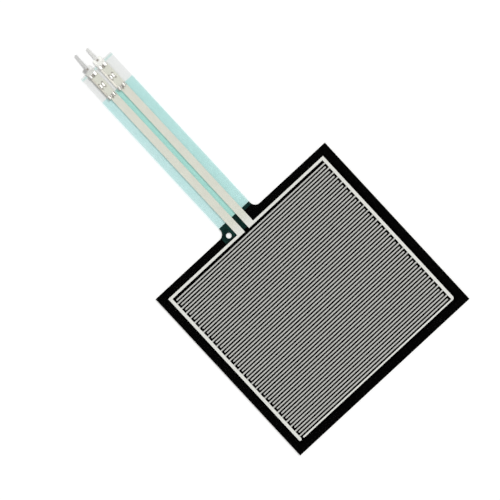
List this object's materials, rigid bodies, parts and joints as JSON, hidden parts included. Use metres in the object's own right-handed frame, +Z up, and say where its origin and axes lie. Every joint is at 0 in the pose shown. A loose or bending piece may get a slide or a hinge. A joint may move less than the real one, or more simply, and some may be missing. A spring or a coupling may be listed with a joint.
{
  "type": "force sensing resistor",
  "caption": "Flat square force sensing resistor: clear film with silver comb electrodes over black carbon ink, and a teal tail that ends in crimped solder pins.",
  "frame": {"origin": "centre of the square pad, on the underside of the release liner, which the sensor lies on", "axes": "+Z up through the layers to the electrode film's outer face, +Y along the tail towards the solder pins, +X to the right with the pins at the top"},
  "size_m": [0.043, 0.0835, 0.001],
  "materials": {
    "liner_paper": "off-white glassine paper, silky",
    "clear_adhesive": "clear acrylic adhesive",
    "clear_film": "clear polyester film, glossy",
    "carbon_ink": "black carbon ink, matt",
    "teal_dielectric": "translucent teal coat, satin",
    "silver_ink": "printed silver ink, matt",
    "tinned_metal": "bright tin plate"
  },
  "bodies": {
    "root": {"release_liner": "liner_paper", "rear_adhesive": "clear_adhesive", "backing_film": "clear_film", "carbon_layer": "carbon_ink", "spacer_adhesive": "clear_adhesive", "dielectric_coat": "teal_dielectric", "left_electrode": "silver_ink", "right_electrode": "silver_ink", "electrode_film": "clear_film", "left_solder_tab": "tinned_metal", "right_solder_tab": "tinned_metal"}
  },
  "joints": []
}
